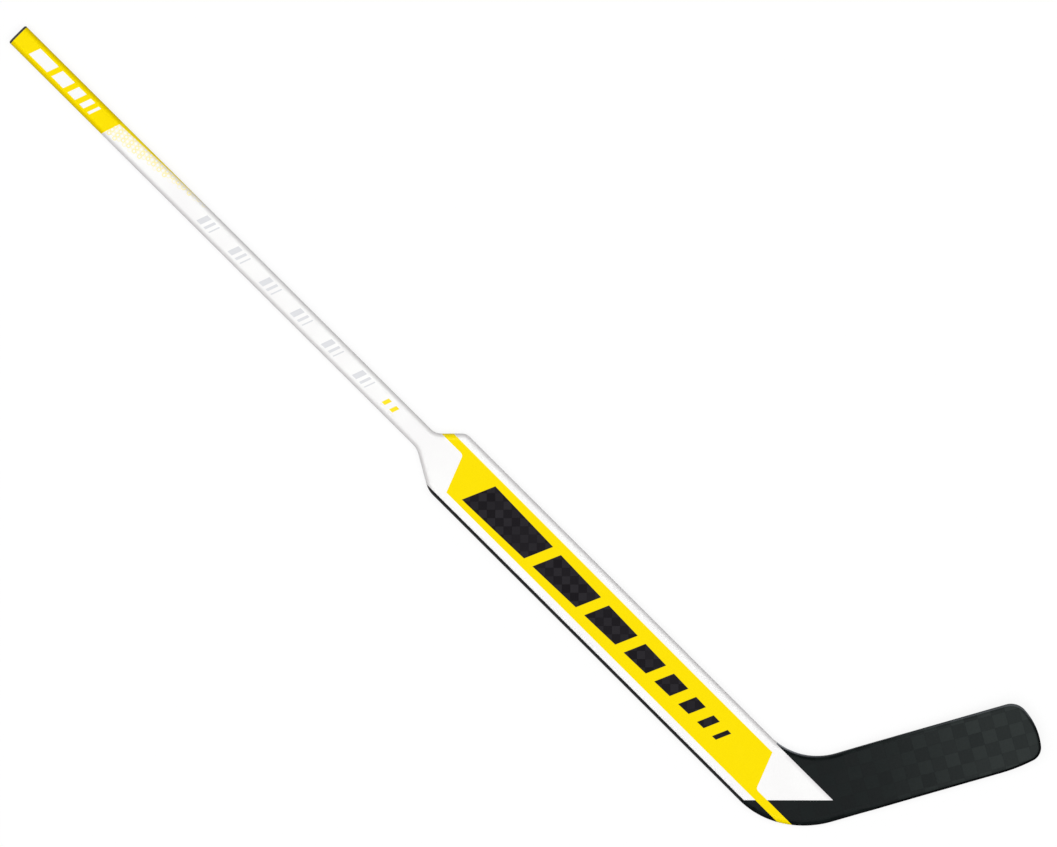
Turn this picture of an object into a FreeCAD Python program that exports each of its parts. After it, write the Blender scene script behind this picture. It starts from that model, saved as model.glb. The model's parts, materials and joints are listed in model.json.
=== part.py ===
import FreeCAD, Part
import math
import os

import Sketcher
from FreeCAD import Placement, Rotation, Vector

# Ice-hockey goalie stick, lying on its back with its front face up. +X runs down the shaft from
# the butt to the heel, +Y is the toe side and +Z comes out of the front face. The origin is on
# the shaft's centre line at the top of the paddle, on the flat back. Lengths are millimetres.

doc = FreeCAD.newDocument("goalie_stick")

# Driving sizes
DRIVING = [
    # Shaft, a hollow tube that the paddle's spar is bonded into
    ("shaft_width", 31),
    ("stick_depth", 20),
    ("corner_round", 8.0),
    ("wall", 2.6),
    ("butt_reach", 796),
    # Plug in the butt, with ridges on its two wide faces that hold it in the bore
    ("flange_thickness", 3),
    ("flange_bevel", 1.2),
    ("plug_length", 36),
    ("plug_gap", 0.15),
    ("plug_wall", 2.4),
    ("plug_hole_round", 1),
    ("ridge_height", 0.7),
    ("ridge_width", 2.2),
    ("ridge_count", 3),
    # Coloured transfers, let in flush with the surface
    ("film", 0.3),
    ("band_length", 174),
    ("band_slant", 10),
    # Yellow panel on the paddle
    ("panel_top", 31.4),
    ("panel_bottom", 29.4),
    ("panel_start", 31.5),
    ("panel_tail", 13.5),
    ("panel_lean", 23.5),
    ("upper_stripe", 10),
    ("lower_stripe", 11),
    ("notch_radius", 6),
    # Paddle: neck, shoulders, edges and the mitred end that the heel meets
    ("paddle_width", 89),
    ("paddle_reach", 593),
    ("neck_seam", 48),
    ("upper_neck_start", 5.8),
    ("upper_neck_radius", 20),
    ("upper_corner_radius", 15),
    ("upper_shoulder_angle", 45),
    ("lower_neck_start", 2.4),
    ("lower_neck_radius", 30),
    ("lower_corner_radius", 32),
    ("lower_shoulder_angle", 30),
    ("rail_width", 3.9),
    ("tip_setback", 31),
    ("lap_lead", 11),
    ("lap_inset", 1.5),
    # Paddle inside: spar, foam and the tenon into the heel
    ("spar_wall", 2.2),
    ("spar_lap", 120),
    ("spar_hollow_round", 1.7),
    ("core_start", 14),
    ("tenon_reach", 130),
    ("tenon_entry", 18),
    # Blade outline, from the heel round the toe and back along the top
    ("heel_radius", 114.6),
    ("sole_radius", 133.9),
    ("sole_turn_angle", 31),
    ("blade_angle", 61),
    ("sole_length", 232.4),
    ("rocker_radius", 238),
    ("rocker_turn_angle", 11),
    ("toe_low_radius", 19.3),
    ("toe_radius", 85),
    ("toe_top_radius", 24),
    ("top_extra", 2.1),
    ("throat_radius", 86.9),
    ("throat_lead", 29),
    # Blade side profile: it thins from the heel and curves forward to the toe
    ("taper_lead", 2),
    ("back_sweep", 40),
    ("front_ease", 30),
    ("front_ease_radius", 1000),
    ("toe_lift", 19.6),
    ("toe_thickness", 8),
    ("blade_round", 3),
    ("round_share", 0.45),
    # Blade inside
    ("skin", 1.6),
    ("edge_band", 5),
    ("bridge_width", 3),
    ("bridge_height", 40.5),
    # Overrun of every cut
    ("overrun", 20),
]

sheet = doc.addObject("Spreadsheet::Sheet", "sizes")
for row, (alias, value) in enumerate(DRIVING, start=1):
    sheet.set(f"A{row}", alias)
    sheet.set(f"B{row}", str(value))
    sheet.setAlias(f"B{row}", alias)
doc.recompute()


class Size:
    """A size that carries its value and the expression that binds it to the sheet."""

    def __init__(self, value, text):
        self.value = float(value)
        self.text = text

    def join(self, other, sign, value):
        return Size(value, f"({self.text} {sign} {as_size(other).text})")

    def __add__(self, other):
        return self.join(other, "+", self.value + as_size(other).value)

    def __sub__(self, other):
        return self.join(other, "-", self.value - as_size(other).value)

    def __mul__(self, other):
        return self.join(other, "*", self.value * as_size(other).value)

    def __truediv__(self, other):
        return self.join(other, "/", self.value / as_size(other).value)

    def __neg__(self):
        return Size(-self.value, f"(-{self.text})")


def as_size(item):
    return item if isinstance(item, Size) else Size(item, repr(item))


def sine(angle):
    return Size(math.sin(math.radians(angle.value)), f"sin({angle.text} * 1 deg)")


def cosine(angle):
    return Size(math.cos(math.radians(angle.value)), f"cos({angle.text} * 1 deg)")


def tangent(angle):
    return Size(math.tan(math.radians(angle.value)), f"tan({angle.text} * 1 deg)")


class Sheet:
    """The driving sizes by name."""


s = Sheet()
for alias, _ in DRIVING:
    setattr(s, alias, Size(sheet.get(alias), f"sizes.{alias}"))
ZERO = Size(0, "0")
ONE = Size(1, "1")
UP = Vector(0, 0, 1)
# Two places closer than this are the same place
SAME = 1e-4


# Sketching helpers
def point(x, y):
    return Vector(x.value, y.value, 0)


def bend(start, heading, radius, turn):
    """Middle and end of an arc that leaves start along heading and turns left, or right if negative."""
    side = Rotation(UP, heading + math.copysign(90, turn)).multVec(Vector(1, 0, 0))
    spoke = side * -radius
    centre = start - spoke
    return centre + Rotation(UP, turn / 2).multVec(spoke), centre + Rotation(UP, turn).multVec(spoke)


def ahead(start, heading, length):
    return start + Rotation(UP, heading).multVec(Vector(length, 0, 0))


def fix(sketch, kind, place, size):
    """Adds a dimension and binds it to the sheet."""
    index = sketch.addConstraint(Sketcher.Constraint(kind, *place, size.value))
    sketch.setExpression(f"Constraints[{index}]", size.text)


def fix_angle(sketch, geometry, angle):
    index = sketch.addConstraint(Sketcher.Constraint("Angle", geometry, math.radians(angle.value)))
    sketch.setExpression(f"Constraints[{index}]", f"{angle.text} * 1 deg")


class Contour:
    """A closed run of lines and arcs in a sketch."""

    def __init__(self, sketch):
        self.sketch = sketch
        self.pieces = []

    def line(self, start, end):
        number = self.sketch.addGeometry(Part.LineSegment(start, end))
        self.pieces.append((number, 1, 2))
        return number

    def arc(self, start, middle, end):
        number = self.sketch.addGeometry(Part.Arc(start, middle, end))
        kept = self.sketch.getPoint(number, 1)
        ends = (1, 2) if kept.distanceToPoint(start) < kept.distanceToPoint(end) else (2, 1)
        self.pieces.append((number, *ends))
        return number

    def fix_point(self, index, x=None, y=None):
        """Dimensions the start of a piece from the sketch's origin."""
        number, first, _ = self.pieces[index]
        if x is not None:
            fix(self.sketch, "DistanceX", (-1, 1, number, first), x)
        if y is not None:
            fix(self.sketch, "DistanceY", (-1, 1, number, first), y)

    def close(self, corners):
        """Joins each piece to the next, smoothly except after the pieces numbered in corners."""
        for index, (number, _, last) in enumerate(self.pieces):
            after, first, _ = self.pieces[(index + 1) % len(self.pieces)]
            kind = "Coincident" if index in corners else "Tangent"
            self.sketch.addConstraint(Sketcher.Constraint(kind, number, last, after, first))


def new_body(name, plane):
    body = doc.addObject("PartDesign::Body", name)
    sketch = body.newObject("Sketcher::SketchObject", f"{name}_sketch")
    attach(body, sketch, plane)
    return body, sketch


def attach(body, sketch, plane):
    support = [item for item in body.Origin.OriginFeatures if item.Role == plane]
    sketch.AttachmentSupport = [(support[0], "")]
    sketch.MapMode = "FlatFace"


def pad(body, sketch, length, both_ways=False):
    feature = body.newObject("PartDesign::Pad", f"{sketch.Name}_pad")
    feature.Profile = sketch
    if both_ways:
        feature.SideType = "Symmetric"
    feature.setExpression("Length", length.text)
    return feature


def polygon(sketch, corners):
    """A closed polygon whose corners are each dimensioned from the sketch's origin."""
    contour = Contour(sketch)
    spots = [point(x, y) for x, y in corners]
    for index, spot in enumerate(spots):
        contour.line(spot, spots[(index + 1) % len(spots)])
    contour.close(range(len(spots)))
    for index, (x, y) in enumerate(corners):
        contour.fix_point(index, x, y)


def rounded_rectangle(sketch, half_width, low, high, radius):
    """A rectangle with round corners, centred across and standing from low to high."""
    left, right = -half_width.value, half_width.value
    bottom, top, round_off = low.value, high.value, radius.value
    contour = Contour(sketch)
    spot = Vector(left + round_off, bottom, 0)
    straights = (right - left - 2 * round_off, top - bottom - 2 * round_off) * 2
    for turn, straight in enumerate(straights):
        end = ahead(spot, 90 * turn, straight)
        line = contour.line(spot, end)
        sketch.addConstraint(Sketcher.Constraint("Vertical" if turn % 2 else "Horizontal", line))
        middle, spot = bend(end, 90 * turn, round_off, 90)
        arc = contour.arc(end, middle, spot)
        fix(sketch, "Radius", (arc,), radius)
    contour.close(())
    contour.fix_point(0, y=low)
    contour.fix_point(2, x=half_width)
    contour.fix_point(4, y=high)
    contour.fix_point(6, x=-half_width)


def bind_place(item, x=None, y=None, z=None):
    for axis, size in (("x", x), ("y", y), ("z", z)):
        if size is not None:
            item.setExpression(f"Placement.Base.{axis}", size.text)


def box(name, x, y, z):
    """A block between two sizes on each axis."""
    item = doc.addObject("Part::Box", name)
    for side, (low, high) in zip(("Length", "Width", "Height"), (x, y, z)):
        item.setExpression(side, (high - low).text)
    bind_place(item, x[0], y[0], z[0])
    return item


def prism(name, flat, low, high):
    """A flat outline drawn at the back plane, pulled from low to high."""
    item = doc.addObject("Part::Extrusion", name)
    item.Base = flat
    item.DirMode = "Custom"
    item.Dir = UP
    item.Solid = True
    item.setExpression("LengthFwd", high.text)
    item.setExpression("LengthRev", (-low).text)
    return item


def inset(name, flat, distance):
    item = doc.addObject("Part::Offset2D", name)
    item.Source = flat
    item.Mode = "Pipe"
    item.Join = "Arc"
    item.setExpression("Value", (-distance).text)
    return item


def common(name, *items):
    item = doc.addObject("Part::MultiCommon", name)
    item.Shapes = list(items)
    item.Behavior = "CommonOfAllShapes"
    return item


def cut(name, base, tool):
    item = doc.addObject("Part::Cut", name)
    item.Base = base
    item.Tool = tool
    return item


# Sizes that follow from the driving ones
half_paddle = s.paddle_width / 2
half_shaft = s.shaft_width / 2
half_bore = half_shaft - s.wall
bore_round = s.corner_round - s.wall
rail_line = half_paddle - s.rail_width
lap_line = half_paddle - s.lap_inset
bottom_clear = -s.overrun
top_clear = s.stick_depth + s.overrun
throat_start = s.paddle_reach - s.throat_lead
lap_start = throat_start + s.lap_lead
panel_end = s.paddle_reach - s.panel_tail
heel_turn = s.blade_angle - s.sole_turn_angle
top_length = s.sole_length + s.top_extra
rocker_chord = s.rocker_radius * sine(s.rocker_turn_angle / 2) * 2
heel_rise = s.heel_radius * (ONE - cosine(heel_turn)) - half_paddle
# Where the straight sole starts, and the tip of the paddle behind it
sole_x = s.paddle_reach + s.heel_radius * sine(heel_turn)
sole_x = sole_x + s.sole_radius * (sine(s.blade_angle) - sine(heel_turn))
sole_y = heel_rise + s.sole_radius * (cosine(heel_turn) - cosine(s.blade_angle))
tip_x = sole_x + (lap_line - sole_y) / tangent(s.blade_angle) - s.tip_setback
mitre_run = (tip_x - s.paddle_reach) / (half_paddle + lap_line)
mitre_middle = s.paddle_reach + mitre_run * half_paddle
# The sole and the end of the toe, measured from the tip along and across the blade
sole_ahead = (sole_x - tip_x) * cosine(s.blade_angle) + (sole_y - lap_line) * sine(s.blade_angle)
sole_aside = (sole_y - lap_line) * cosine(s.blade_angle) - (sole_x - tip_x) * sine(s.blade_angle)
toe_end = sole_ahead + s.sole_length + rocker_chord + s.toe_low_radius
toe_front = s.toe_lift + s.toe_thickness
# Where the throat's curve ends, past which the blade starts to thin
throat_x = throat_start + s.throat_radius * sine(s.blade_angle)
throat_y = half_paddle + s.throat_radius * (ONE - cosine(s.blade_angle))
throat_ahead = (throat_x - tip_x) * cosine(s.blade_angle) + (throat_y - lap_line) * sine(s.blade_angle)
taper_start = throat_ahead + s.taper_lead
whole_reach = s.paddle_reach + s.butt_reach
whole_height = top_clear + toe_front


# Outline of the paddle and blade
def shoulder(start, angle, neck_radius, corner_radius, drop):
    """Ends and middles of a shoulder: an arc out of the neck, a straight and an arc into the edge."""
    side = math.copysign(1, angle)
    neck_middle, neck_end = bend(start, 0, neck_radius, angle)
    eased = (neck_radius + corner_radius) * (1 - math.cos(math.radians(angle)))
    straight = (drop - eased) / abs(math.sin(math.radians(angle)))
    corner_start = ahead(neck_end, angle, straight)
    corner_middle, corner_end = bend(corner_start, angle, corner_radius, -side * abs(angle))
    return neck_middle, neck_end, corner_start, corner_middle, corner_end


def between(centre, start, end, radius):
    """The middle of an arc about centre from start to end."""
    return centre + ((start + end) / 2 - centre).normalize() * radius


def draw_outline(sketch):
    contour = Contour(sketch)
    seam, neck, half = -s.neck_seam.value, half_shaft.value, half_paddle.value
    # Shoulders
    low_root = Vector(seam + s.lower_neck_start.value, -neck, 0)
    fall = -s.lower_shoulder_angle.value
    low = shoulder(low_root, fall, s.lower_neck_radius.value, s.lower_corner_radius.value, half - neck)
    high_root = Vector(seam + s.upper_neck_start.value, neck, 0)
    rise = s.upper_shoulder_angle.value
    high = shoulder(high_root, rise, s.upper_neck_radius.value, s.upper_corner_radius.value, half - neck)
    # Heel, sole and the lower corner of the toe
    heel_start = Vector(s.paddle_reach.value, -half, 0)
    heel_middle, heel_end = bend(heel_start, 0, s.heel_radius.value, heel_turn.value)
    sole_middle, sole_start = bend(heel_end, heel_turn.value, s.sole_radius.value, s.sole_turn_angle.value)
    heading = s.blade_angle.value
    sole_end = ahead(sole_start, heading, s.sole_length.value)
    rocker_middle, rocker_end = bend(sole_end, heading, s.rocker_radius.value, s.rocker_turn_angle.value)
    toe_heading = heading + s.rocker_turn_angle.value
    low_centre = ahead(rocker_end, toe_heading + 90, s.toe_low_radius.value)
    # Throat, top and the upper corner of the toe
    throat = Vector(throat_start.value, half, 0)
    throat_middle, throat_end = bend(throat, 0, s.throat_radius.value, heading)
    top_end = ahead(throat_end, heading, top_length.value)
    top_centre = ahead(top_end, heading - 90, s.toe_top_radius.value)
    # The toe's own arc touches both of its corner arcs
    low_arm = s.toe_radius.value - s.toe_low_radius.value
    top_arm = s.toe_radius.value - s.toe_top_radius.value
    span = top_centre - low_centre
    along = (low_arm**2 - top_arm**2 + span.Length**2) / (2 * span.Length)
    across = Rotation(UP, 90).multVec(span).normalize() * math.sqrt(low_arm**2 - along**2)
    centre = low_centre + span.normalize() * along + across
    low_touch = centre + (low_centre - centre) * (s.toe_radius.value / low_arm)
    top_touch = centre + (top_centre - centre) * (s.toe_radius.value / top_arm)

    contour.line(Vector(seam, -neck, 0), low_root)
    contour.arc(low_root, low[0], low[1])
    contour.line(low[1], low[2])
    contour.arc(low[2], low[3], low[4])
    contour.line(low[4], heel_start)
    contour.arc(heel_start, heel_middle, heel_end)
    contour.arc(heel_end, sole_middle, sole_start)
    contour.line(sole_start, sole_end)
    contour.arc(sole_end, rocker_middle, rocker_end)
    contour.arc(rocker_end, between(low_centre, rocker_end, low_touch, s.toe_low_radius.value), low_touch)
    contour.arc(low_touch, between(centre, low_touch, top_touch, s.toe_radius.value), top_touch)
    contour.arc(top_touch, between(top_centre, top_touch, top_end, s.toe_top_radius.value), top_end)
    contour.line(top_end, throat_end)
    contour.arc(throat_end, throat_middle, throat)
    contour.line(throat, high[4])
    contour.arc(high[4], high[3], high[2])
    contour.line(high[2], high[1])
    contour.arc(high[1], high[0], high_root)
    contour.line(high_root, Vector(seam, neck, 0))
    contour.line(Vector(seam, neck, 0), Vector(seam, -neck, 0))
    contour.close((18, 19))

    for index in (0, 4, 14, 18):
        sketch.addConstraint(Sketcher.Constraint("Horizontal", contour.pieces[index][0]))
    sketch.addConstraint(Sketcher.Constraint("Vertical", contour.pieces[19][0]))
    for index, radius in (
        (1, s.lower_neck_radius),
        (3, s.lower_corner_radius),
        (5, s.heel_radius),
        (6, s.sole_radius),
        (8, s.rocker_radius),
        (9, s.toe_low_radius),
        (10, s.toe_radius),
        (11, s.toe_top_radius),
        (13, s.throat_radius),
        (15, s.upper_corner_radius),
        (17, s.upper_neck_radius),
    ):
        fix(sketch, "Radius", (contour.pieces[index][0],), radius)
    for index, angle in (
        (2, -s.lower_shoulder_angle),
        (7, s.blade_angle),
        (12, s.blade_angle - 180),
        (16, s.upper_shoulder_angle - 180),
    ):
        fix_angle(sketch, contour.pieces[index][0], angle)
    fix(sketch, "Distance", (contour.pieces[7][0],), s.sole_length)
    fix(sketch, "Distance", (contour.pieces[8][0], 1, contour.pieces[8][0], 2), rocker_chord)
    fix(sketch, "Distance", (contour.pieces[12][0],), top_length)
    contour.fix_point(0, -s.neck_seam, -half_shaft)
    contour.fix_point(1, s.lower_neck_start - s.neck_seam)
    contour.fix_point(4, y=-half_paddle)
    contour.fix_point(5, s.paddle_reach)
    contour.fix_point(6, y=heel_rise)
    contour.fix_point(14, throat_start, half_paddle)
    contour.fix_point(18, s.upper_neck_start - s.neck_seam, half_shaft)


outline = doc.addObject("Sketcher::SketchObject", "outline")
draw_outline(outline)
outline_prism = prism("outline_prism", outline, bottom_clear, whole_height)


# Side profile of the blade, drawn across the stick at the tip of the paddle
def profile_run(kind, heel, toe):
    """Pieces of one face of the blade from the heel to the toe, each as start, middle, end and radius."""
    begin = Vector(-whole_reach.value, heel.value, 0)
    flat_end = Vector(taper_start.value, heel.value, 0)
    tail = Vector(toe_end.value, toe.value, 0)
    if kind == "clear":
        return [(begin, None, tail, None)]
    run = [(begin, None, flat_end, None)]
    if kind == "back":
        # An arc that lifts the face, then a straight to the toe
        sweep = s.back_sweep.value
        turn = math.degrees((tail.y - flat_end.y) / (tail.x - flat_end.x - sweep / 2))
        middle, end = bend(flat_end, 0, sweep / math.sin(math.radians(turn)), turn)
        run.append((flat_end, middle, end, None))
        run.append((end, None, tail, None))
        return run
    # A short arc down, then a long one up to the toe
    turn = math.degrees(math.asin(s.front_ease.value / s.front_ease_radius.value))
    middle, end = bend(flat_end, 0, s.front_ease_radius.value, -turn)
    run.append((flat_end, middle, end, s.front_ease_radius))
    chord = tail - end
    swing = math.degrees(math.atan2(chord.y, chord.x)) + turn
    middle, tail = bend(end, -turn, chord.Length / 2 / math.sin(math.radians(swing)), 2 * swing)
    run.append((end, middle, tail, None))
    return run


SWEEP = {"back": s.back_sweep, "front": s.front_ease}


def on_blade(body):
    """Stands a body at the tip of the paddle, with its X along the blade."""
    body.Placement = Placement(Vector(), Rotation(UP, s.blade_angle.value))
    bind_place(body, tip_x, lap_line)
    body.setExpression("Placement.Rotation.Angle", f"{s.blade_angle.text} * 1 deg")


def blade_layer(name, low, high):
    """A slab between two faces of the blade, each a kind of face with its heights at heel and toe."""
    body, sketch = new_body(name, "XZ_Plane")
    contour = Contour(sketch)
    low_run, high_run = profile_run(*low), profile_run(*high)
    pieces = list(low_run)
    pieces.append((low_run[-1][2], None, high_run[-1][2], None))
    pieces += [(end, middle, start, radius) for start, middle, end, radius in reversed(high_run)]
    pieces.append((high_run[0][0], None, low_run[0][0], None))
    for start, middle, end, radius in pieces:
        if middle is None:
            contour.line(start, end)
            continue
        arc = contour.arc(start, middle, end)
        if radius is not None:
            fix(sketch, "Radius", (arc,), radius)
    rise, last = len(low_run), len(pieces) - 1
    contour.close((rise - 1, rise, last - 1, last))
    for index in (rise, last):
        sketch.addConstraint(Sketcher.Constraint("Vertical", contour.pieces[index][0]))
    contour.fix_point(0, -whole_reach, low[1])
    contour.fix_point(rise, toe_end, low[2])
    contour.fix_point(rise + 1, y=high[2])
    contour.fix_point(last, y=high[1])
    if low[0] in SWEEP:
        contour.fix_point(1, taper_start, low[1])
        contour.fix_point(2, taper_start + SWEEP[low[0]])
    if high[0] in SWEEP:
        contour.fix_point(last - 1, taper_start, high[1])
        contour.fix_point(last - 2, taper_start + SWEEP[high[0]])
    pad(body, sketch, whole_reach * 2, both_ways=True)
    on_blade(body)
    return body


back_face = ("back", ZERO, s.toe_lift)
front_face = ("front", s.stick_depth, toe_front)
blade_slab = blade_layer("blade_slab", back_face, front_face)
blank = common("blank", outline_prism, blade_slab)
doc.recompute()


# Long edges of the blank, rounded full on the paddle and heel and less on the thin blade
blade_edge = min(s.blade_round.value, s.toe_thickness.value * s.round_share.value)
blade_frame = Placement(point(tip_x, lap_line), Rotation(UP, s.blade_angle.value))


def outward(face, spot):
    return face.normalAt(*face.Surface.parameter(spot))


def edge_round(spot):
    """The rounding at one end of an edge, which falls along the first stretch past the taper's start."""
    along = blade_frame.inverse().multVec(spot).x
    return s.corner_round.value if along < taper_start.value + SAME else blade_edge


# A run of edges takes its radii in the direction of its first edge, so the others may need theirs swapped
long_edges = []
directions = {}
for number, edge in enumerate(blank.Shape.Edges, start=1):
    middle = sum(edge.ParameterRange) / 2
    spot = edge.valueAt(middle)
    sides = [outward(face, spot) for face in blank.Shape.ancestorsOfType(edge, Part.Face)]
    walls = [side for side in sides if abs(side.z) < SAME]
    if len(walls) != 1 or edge.BoundBox.XMax < SAME - s.neck_seam.value:
        continue
    front = max(side.z for side in sides) > SAME
    leftward = edge.tangentAt(middle).dot(UP.cross(walls[0])) > 0
    rounds = [edge_round(edge.valueAt(place)) for place in edge.ParameterRange]
    if leftward != directions.setdefault(front, leftward):
        rounds.reverse()
    long_edges.append((number, *rounds))
rounded = doc.addObject("Part::Fillet", "rounded")
rounded.Base = blank
rounded.Edges = long_edges


# Zone of the paddle, which ends in a mitre with its long point on the toe side
def flat_polygon(name, corners):
    sketch = doc.addObject("Sketcher::SketchObject", name)
    polygon(sketch, corners)
    return sketch


beyond = half_paddle + s.overrun
mitre_low = s.paddle_reach - mitre_run * s.overrun
paddle_face = flat_polygon(
    "paddle_face",
    [
        (-(s.butt_reach + s.overrun), -beyond),
        (mitre_low, -beyond),
        (tip_x, lap_line),
        (lap_start, lap_line),
        (lap_start, beyond),
        (-(s.butt_reach + s.overrun), beyond),
    ],
)
paddle_zone = prism("paddle_zone", paddle_face, bottom_clear, whole_height)
paddle_solid = common("paddle_solid", rounded, paddle_zone)
blade_solid = cut("blade_solid", rounded, paddle_zone)
flat_line = inset("flat_line", outline, s.corner_round + s.film)
wall_line = inset("wall_line", outline, s.wall)
band_line = inset("band_line", outline, s.edge_band)
flat_zone = prism("flat_zone", flat_line, bottom_clear, whole_height)
wall_zone = prism("wall_zone", wall_line, bottom_clear, whole_height)
band_zone = prism("band_zone", band_line, bottom_clear, whole_height)


# Tubes along the stick
def tube(name, start, length, outer, inner=None):
    """A round-cornered tube along X, each section given as half width, lowest height and corner round."""
    body, sketch = new_body(name, "YZ_Plane")
    for half_width, low, radius in (outer,) if inner is None else (outer, inner):
        rounded_rectangle(sketch, half_width, low, s.stick_depth - low, radius)
    pad(body, sketch, length)
    bind_place(body, start)
    return body


shaft_section = (half_shaft, ZERO, s.corner_round)
bore_section = (half_bore, s.wall, bore_round)
film_section = (half_shaft - s.film, s.film, s.corner_round - s.film)
hollow_section = (half_bore - s.spar_wall, s.wall + s.spar_wall, s.spar_hollow_round)

# Shaft, with the transfer at the butt let into it
shaft_whole = tube("shaft_whole", -s.butt_reach, s.butt_reach - s.neck_seam, shaft_section, bore_section)
band_sleeve = tube("band_sleeve", -s.butt_reach, s.band_length + s.band_slant, shaft_section, film_section)
band_low = s.band_length - s.butt_reach - s.band_slant / 2
slant_over = s.band_slant * s.overrun / s.shaft_width
band_face = flat_polygon(
    "band_face",
    [
        (-(s.butt_reach + s.overrun), -(half_shaft + s.overrun)),
        (band_low - slant_over, -(half_shaft + s.overrun)),
        (band_low + s.band_slant + slant_over, half_shaft + s.overrun),
        (-(s.butt_reach + s.overrun), half_shaft + s.overrun),
    ],
)
band_cut = prism("band_cut", band_face, bottom_clear, whole_height)
butt_band_film = common("butt_band_film", band_sleeve, band_cut)
shaft_tube = cut("shaft_tube", shaft_whole, butt_band_film)

# Spar, from inside the shaft to the mitre
spar_start = -(s.neck_seam + s.spar_lap)
spar_length = tip_x - spar_start
spar_whole = tube("spar_whole", spar_start, spar_length, bore_section, hollow_section)
spar_envelope = tube("spar_envelope", spar_start, spar_length, bore_section)
paddle_spar = common("paddle_spar", spar_whole, paddle_zone)

# Edge rails of the paddle
far_end = tip_x + s.overrun
rail_run = (-s.neck_seam, far_end)
through = (bottom_clear, whole_height)
upper_strip = box("upper_strip", rail_run, (rail_line, beyond), through)
lower_strip = box("lower_strip", rail_run, (-beyond, -rail_line), through)
paddle_upper_rail = common("paddle_upper_rail", paddle_solid, upper_strip)
paddle_lower_rail = common("paddle_lower_rail", paddle_solid, lower_strip)

# Foam on each side of the spar
core_heights = (s.wall, s.stick_depth - s.wall)
core_room = box("core_room", rail_run, (-rail_line, rail_line), core_heights)
cavity = common("cavity", wall_zone, core_room, paddle_zone)
core_run = (-s.core_start, far_end)
upper_side = box("upper_side", core_run, (half_bore, beyond), through)
lower_side = box("lower_side", core_run, (-beyond, -half_bore), through)
paddle_core_upper = common("paddle_core_upper", cavity, upper_side)
paddle_core_lower = common("paddle_core_lower", cavity, lower_side)

# Yellow panel: a long field with a stripe off each end, up the shoulder and down the heel
panel_height = s.panel_top + s.panel_bottom
lean = s.panel_lean / panel_height
notch_high = s.panel_top - s.upper_stripe
notch_low = s.panel_bottom - s.lower_stripe
panel, panel_sketch = new_body("panel", "XY_Plane")
polygon(
    panel_sketch,
    [
        (-s.neck_seam, notch_high),
        (s.panel_start - lean * (s.panel_bottom + notch_high), notch_high),
        (s.panel_start, -s.panel_bottom),
        (far_end, -s.panel_bottom),
        (far_end, -notch_low),
        (panel_end + lean * (s.panel_top + notch_low), -notch_low),
        (panel_end, s.panel_top),
        (-s.neck_seam, s.panel_top),
    ],
)
panel_pad = pad(panel, panel_sketch, whole_height * 2, both_ways=True)
doc.recompute()
notch_spots = [(panel_end + lean * (s.panel_top + notch_low), -notch_low)]
notch_spots.append((s.panel_start - lean * (s.panel_bottom + notch_high), notch_high))
notches = []
for number, edge in enumerate(panel_pad.Shape.Edges, start=1):
    feet = [vertex.Point for vertex in edge.Vertexes]
    for x, y in notch_spots:
        if all(math.hypot(foot.x - x.value, foot.y - y.value) < SAME for foot in feet):
            notches.append(f"Edge{number}")
notch_round = panel.newObject("PartDesign::Fillet", "notch_round")
notch_round.Base = (panel_pad, notches)
notch_round.setExpression("Radius", s.notch_radius.text)
front_sheet = box("front_sheet", rail_run, (-beyond, beyond), (s.stick_depth - s.film, s.stick_depth))
back_sheet = box("back_sheet", rail_run, (-beyond, beyond), (ZERO, s.film))
front_panel = common("front_panel", panel, flat_zone, front_sheet)
back_panel = common("back_panel", panel, flat_zone, back_sheet)
paddle_front_film = common("paddle_front_film", front_panel, paddle_zone)
paddle_back_film = common("paddle_back_film", back_panel, paddle_zone)
heel_stripe_front = cut("heel_stripe_front", front_panel, paddle_zone)
heel_stripe_back = cut("heel_stripe_back", back_panel, paddle_zone)

# Shells of the paddle, which meet at mid depth round the neck and shoulders
mid_depth = s.stick_depth / 2
shell_width = (-rail_line, rail_line)
front_room = box("front_room", rail_run, shell_width, (mid_depth, top_clear))
back_room = box("back_room", rail_run, shell_width, (bottom_clear, mid_depth))
front_half = common("front_half", paddle_solid, front_room)
back_half = common("back_half", paddle_solid, back_room)
front_open = cut("front_open", cut("front_hollow", front_half, cavity), spar_envelope)
back_open = cut("back_open", cut("back_hollow", back_half, cavity), spar_envelope)
paddle_front_shell = cut("paddle_front_shell", front_open, paddle_front_film)
paddle_back_shell = cut("paddle_back_shell", back_open, paddle_back_film)

# Tenon in the end of the spar
tenon_length = s.tenon_reach + s.tenon_entry
blade_tenon = tube("blade_tenon", mitre_middle - s.tenon_reach, tenon_length, hollow_section)

# Blade: edge band, skins and what lies between them
blade_edge_band = cut("blade_edge_band", blade_solid, band_zone)
blade_inner = common("blade_inner", blade_solid, band_zone)
back_inside = ("back", s.skin, s.toe_lift + s.skin)
front_inside = ("front", s.stick_depth - s.skin, toe_front - s.skin)
clear_above = ("clear", top_clear, toe_front + s.overrun)
front_layer = blade_layer("front_layer", front_inside, clear_above)
back_layer = blade_layer("back_layer", ("clear", bottom_clear, bottom_clear), back_inside)
middle_layer = blade_layer("middle_layer", back_inside, front_inside)
front_skin_whole = common("front_skin_whole", blade_inner, front_layer)
back_skin_whole = common("back_skin_whole", blade_inner, back_layer)
blade_front_skin = cut("blade_front_skin", front_skin_whole, heel_stripe_front)
blade_back_skin = cut("blade_back_skin", back_skin_whole, heel_stripe_back)
blade_middle = common("blade_middle", blade_inner, middle_layer)


def blade_room(name, along, across):
    """A block that stands on the blade's own axes."""
    body, sketch = new_body(name, "XY_Plane")
    (start, end), (low, high) = along, across
    polygon(sketch, [(start, low), (end, low), (end, high), (start, high)])
    pad(body, sketch, whole_height * 2, both_ways=True)
    on_blade(body)
    return body


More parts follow.
